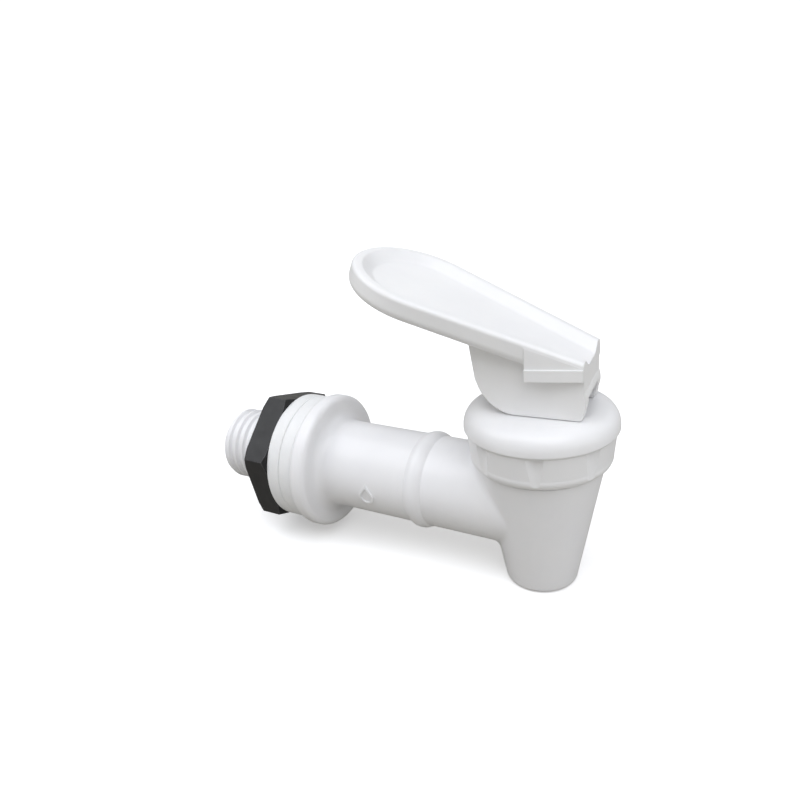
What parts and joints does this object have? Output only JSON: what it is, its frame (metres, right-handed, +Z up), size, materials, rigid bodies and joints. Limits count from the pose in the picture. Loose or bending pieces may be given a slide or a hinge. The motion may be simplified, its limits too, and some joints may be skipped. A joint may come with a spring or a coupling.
{
  "type": "water dispenser tap",
  "caption": "White lift-lever water tap: tapered spout, grooved cap, teardrop lever that swivels and presses down, and a threaded shank with gaskets and a black jam nut.",
  "frame": {"origin": "centre of the flange's back face, where the tap clamps on the dispenser's wall", "axes": "+X along the tube towards the spout, +Z up, -X into the dispenser along the threaded shank"},
  "size_m": [0.0892, 0.0303, 0.0651],
  "materials": {
    "body_plastic": "satin-gloss moulded white",
    "cap_plastic": "satin-gloss moulded white",
    "lever_plastic": "satin-gloss moulded white",
    "gasket_silicone": "milky translucent silicone",
    "nut_plastic": "satin black",
    "valve_silicone": "soft white silicone",
    "stem_plastic": "smooth natural white",
    "washer_plastic": "smooth natural white",
    "stainless_steel": "drawn wire, bright"
  },
  "bodies": {
    "faucet": {"faucet_body": "body_plastic", "outer_gasket": "gasket_silicone", "bonnet_cap": "cap_plastic", "seat_cup": "valve_silicone"},
    "swivel": {"spring_washer": "washer_plastic", "return_spring": "stainless_steel"},
    "stem": {"valve_stem": "stem_plastic"},
    "lever": {"lever_handle": "lever_plastic", "pivot_pin": "stainless_steel"},
    "clamp_gasket": {"inner_gasket": "gasket_silicone"},
    "nut": {"jam_nut": "nut_plastic"}
  },
  "joints": [
    {"name": "lever_swivel", "type": "hinge", "parent": "faucet", "child": "swivel", "pos_m": [0.0507, 0, 0], "axis": [0, 0, 1], "continuous": true},
    {"name": "stem_lift", "type": "slide", "parent": "swivel", "child": "stem", "axis": [0, 0, 1], "range_m": [0, 0.0016], "deforming": ["return_spring", "seat_cup"]},
    {"name": "lever_press", "type": "hinge", "parent": "stem", "child": "lever", "pos_m": [0.0507, 0, 0.02695], "axis": [0.1045, -0.9945, 0], "range_deg": [0, 30], "stiffness_Nm_per_rad": 0.0126, "springref_deg": -79.07},
    {"name": "nut_travel", "type": "slide", "parent": "faucet", "child": "clamp_gasket", "axis": [-1, 0, 0], "range_m": [0, 0.008]},
    {"name": "nut_turn", "type": "hinge", "parent": "clamp_gasket", "child": "nut", "pos_m": [-0.009, 0, 0], "axis": [-1, 0, 0], "range_deg": [0, 1440]}
  ],
  "couplings": [
    {"joint": "stem_lift", "follows": "lever_press", "m_per_rad": 0.0029},
    {"joint": "nut_travel", "follows": "nut_turn", "m_per_rad": 0.00031831}
  ]
}
